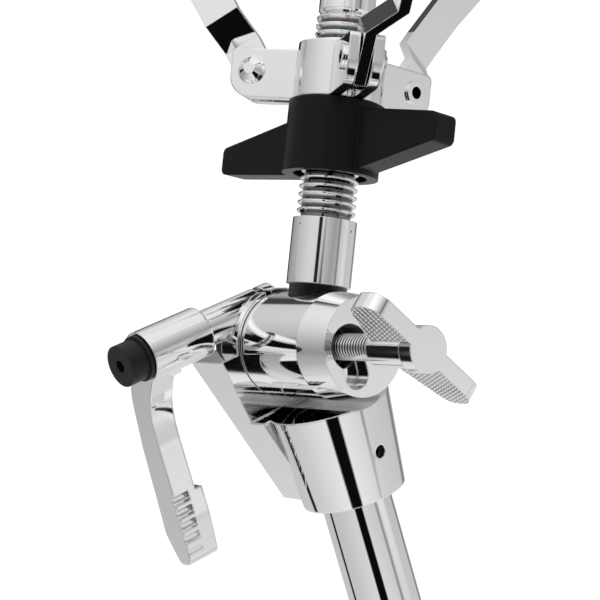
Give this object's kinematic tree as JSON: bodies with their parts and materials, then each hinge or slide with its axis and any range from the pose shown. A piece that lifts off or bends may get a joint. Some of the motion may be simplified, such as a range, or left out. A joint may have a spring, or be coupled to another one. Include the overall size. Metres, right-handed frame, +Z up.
{
  "type": "snare drum stand",
  "caption": "Folding tripod stand with telescoping tube, lever-clamped tilter and screw-closed basket of hinged arms with rubber grips for holding a snare drum.",
  "frame": {"origin": "on the floor, on the axis of the upright tube", "axes": "+Z up along the tube, +X along the tilter's axis towards its wing bolt, -Y towards the clamp lever"},
  "size_m": [0.4814, 0.517, 0.7446],
  "materials": {
    "chrome": "polished chrome plate",
    "cast_chrome": "chrome-plated die casting",
    "black_plastic": "fine-grained moulded black plastic",
    "black_oxide": "black oxide steel",
    "rubber": "matt black rubber",
    "nylon": "black nylon"
  },
  "bodies": {
    "base": {"base_tube": "chrome", "end_cap": "rubber", "brace_collar": "cast_chrome", "brace_rivets": "chrome", "height_clamp": "cast_chrome"},
    "leg_collar": {"leg_collar": "cast_chrome", "collar_rivets": "chrome"},
    "collar_bolt": {"collar_bolt": "cast_chrome"},
    "height_bolt": {"height_bolt": "cast_chrome"},
    "bush": {"bush": "nylon"},
    "upper": {"upper_tube": "chrome", "tilter_housing": "cast_chrome", "set_screw": "chrome"},
    "lever": {"lever": "cast_chrome", "clamp_screw": "black_oxide"},
    "barrel": {"barrel": "cast_chrome"},
    "tilter_bolt": {"tilter_bolt": "cast_chrome"},
    "post": {"post": "chrome"},
    "hub": {"basket_hub": "cast_chrome", "hub_rivets": "chrome"},
    "wing_nut": {"wing_nut": "black_plastic"},
    "strut_1": {"strut_1": "chrome"},
    "leg_1": {"leg_1": "chrome", "knee_rivet_1": "chrome", "foot_1": "rubber"},
    "strut_2": {"strut_2": "chrome"},
    "leg_2": {"leg_2": "chrome", "knee_rivet_2": "chrome", "foot_2": "rubber"},
    "strut_3": {"strut_3": "chrome"},
    "leg_3": {"leg_3": "chrome", "knee_rivet_3": "chrome", "foot_3": "rubber"},
    "arm_1": {"arm_1": "chrome", "grip_1": "rubber"},
    "arm_2": {"arm_2": "chrome", "grip_2": "rubber"},
    "arm_3": {"arm_3": "chrome", "grip_3": "rubber"}
  },
  "joints": [
    {"name": "strut_1_fold", "type": "hinge", "parent": "base", "child": "strut_1", "pos_m": [0.02511, 0.0145, 0.04195], "axis": [0.5, -0.866, 0], "range_deg": [0, 45]},
    {"name": "leg_1_fold", "type": "hinge", "parent": "strut_1", "child": "leg_1", "pos_m": [0.10501, 0.06063, 0.10186], "axis": [0.5, -0.866, 0], "range_deg": [-90, 0]},
    {"name": "strut_2_fold", "type": "hinge", "parent": "base", "child": "strut_2", "pos_m": [-0.02511, 0.0145, 0.04195], "axis": [0.5, 0.866, 0], "range_deg": [0, 45]},
    {"name": "leg_2_fold", "type": "hinge", "parent": "strut_2", "child": "leg_2", "pos_m": [-0.10501, 0.06063, 0.10186], "axis": [0.5, 0.866, 0], "range_deg": [-90, 0]},
    {"name": "strut_3_fold", "type": "hinge", "parent": "base", "child": "strut_3", "pos_m": [0, -0.029, 0.04195], "axis": [-1, 0, 0], "range_deg": [0, 45]},
    {"name": "leg_3_fold", "type": "hinge", "parent": "strut_3", "child": "leg_3", "pos_m": [0, -0.12125, 0.10186], "axis": [-1, 0, 0], "range_deg": [-90, 0]},
    {"name": "leg_collar_level", "type": "hinge", "parent": "leg_1", "child": "leg_collar", "pos_m": [0.02511, 0.0145, 0.16178], "axis": [0.5, -0.866, 0], "range_deg": [0, 45]},
    {"name": "collar_bolt_turn", "type": "hinge", "parent": "leg_collar", "child": "collar_bolt", "pos_m": [0.03464, -0.02, 0.16178], "axis": [0.866, -0.5, 0], "range_deg": [-90, 90]},
    {"name": "tube_swivel", "type": "hinge", "parent": "base", "child": "bush", "pos_m": [0, 0, 0.33], "axis": [0, 0, 1], "range_deg": [-180, 180]},
    {"name": "height_slide", "type": "slide", "parent": "bush", "child": "upper", "axis": [0, 0, 1], "range_m": [-0.05, 0.1]},
    {"name": "height_bolt_turn", "type": "hinge", "parent": "base", "child": "height_bolt", "pos_m": [0.04, 0, 0.338], "axis": [1, 0, 0], "range_deg": [-90, 90]},
    {"name": "lever_turn", "type": "hinge", "parent": "upper", "child": "lever", "pos_m": [-0.022, -0.03, 0.492], "axis": [0, -1, 0], "range_deg": [-60, 60]},
    {"name": "tilt", "type": "hinge", "parent": "upper", "child": "barrel", "pos_m": [0, 0, 0.479], "axis": [1, 0, 0], "range_deg": [-25, 50]},
    {"name": "tilter_bolt_turn", "type": "hinge", "parent": "barrel", "child": "tilter_bolt", "pos_m": [0.03, -0.005, 0.4808], "axis": [1, 0, 0], "range_deg": [-90, 90]},
    {"name": "post_swivel", "type": "hinge", "parent": "barrel", "child": "post", "pos_m": [0, 0, 0.479], "axis": [0, 0.4587, 0.8886], "range_deg": [-180, 180]},
    {"name": "hub_slide", "type": "slide", "parent": "post", "child": "hub", "axis": [0, 0.4587, 0.8886], "range_m": [-0.005, 0.004]},
    {"name": "wing_nut_turn", "type": "hinge", "parent": "hub", "child": "wing_nut", "pos_m": [0, 0.02408, 0.52565], "axis": [0, 0.4587, 0.8886], "range_deg": [-721, 721]},
    {"name": "arm_1_fold", "type": "hinge", "parent": "hub", "child": "arm_1", "pos_m": [0.02472, 0.02791, 0.55935], "axis": [-0.4384, -0.7987, 0.4122], "range_deg": [-15, 15]},
    {"name": "arm_2_fold", "type": "hinge", "parent": "hub", "child": "arm_2", "pos_m": [-0.00192, 0.063, 0.54124], "axis": [0.9976, 0.062, -0.032], "range_deg": [-15, 15]},
    {"name": "arm_3_fold", "type": "hinge", "parent": "hub", "child": "arm_3", "pos_m": [-0.0228, 0.02495, 0.56088], "axis": [-0.5592, 0.7367, -0.3802], "range_deg": [-15, 15]}
  ],
  "couplings": [
    {"joint": "leg_1_fold", "follows": "strut_1_fold", "ratio": -2},
    {"joint": "strut_2_fold", "follows": "strut_1_fold", "ratio": 1},
    {"joint": "leg_2_fold", "follows": "strut_1_fold", "ratio": -2},
    {"joint": "strut_3_fold", "follows": "strut_1_fold", "ratio": 1},
    {"joint": "leg_3_fold", "follows": "strut_1_fold", "ratio": -2},
    {"joint": "leg_collar_level", "follows": "strut_1_fold", "ratio": 1},
    {"joint": "wing_nut_turn", "follows": "hub_slide", "rad_per_m": 2513.3},
    {"joint": "arm_1_fold", "follows": "hub_slide", "rad_per_m": 51.546},
    {"joint": "arm_2_fold", "follows": "hub_slide", "rad_per_m": 51.546},
    {"joint": "arm_3_fold", "follows": "hub_slide", "rad_per_m": 51.546}
  ]
}
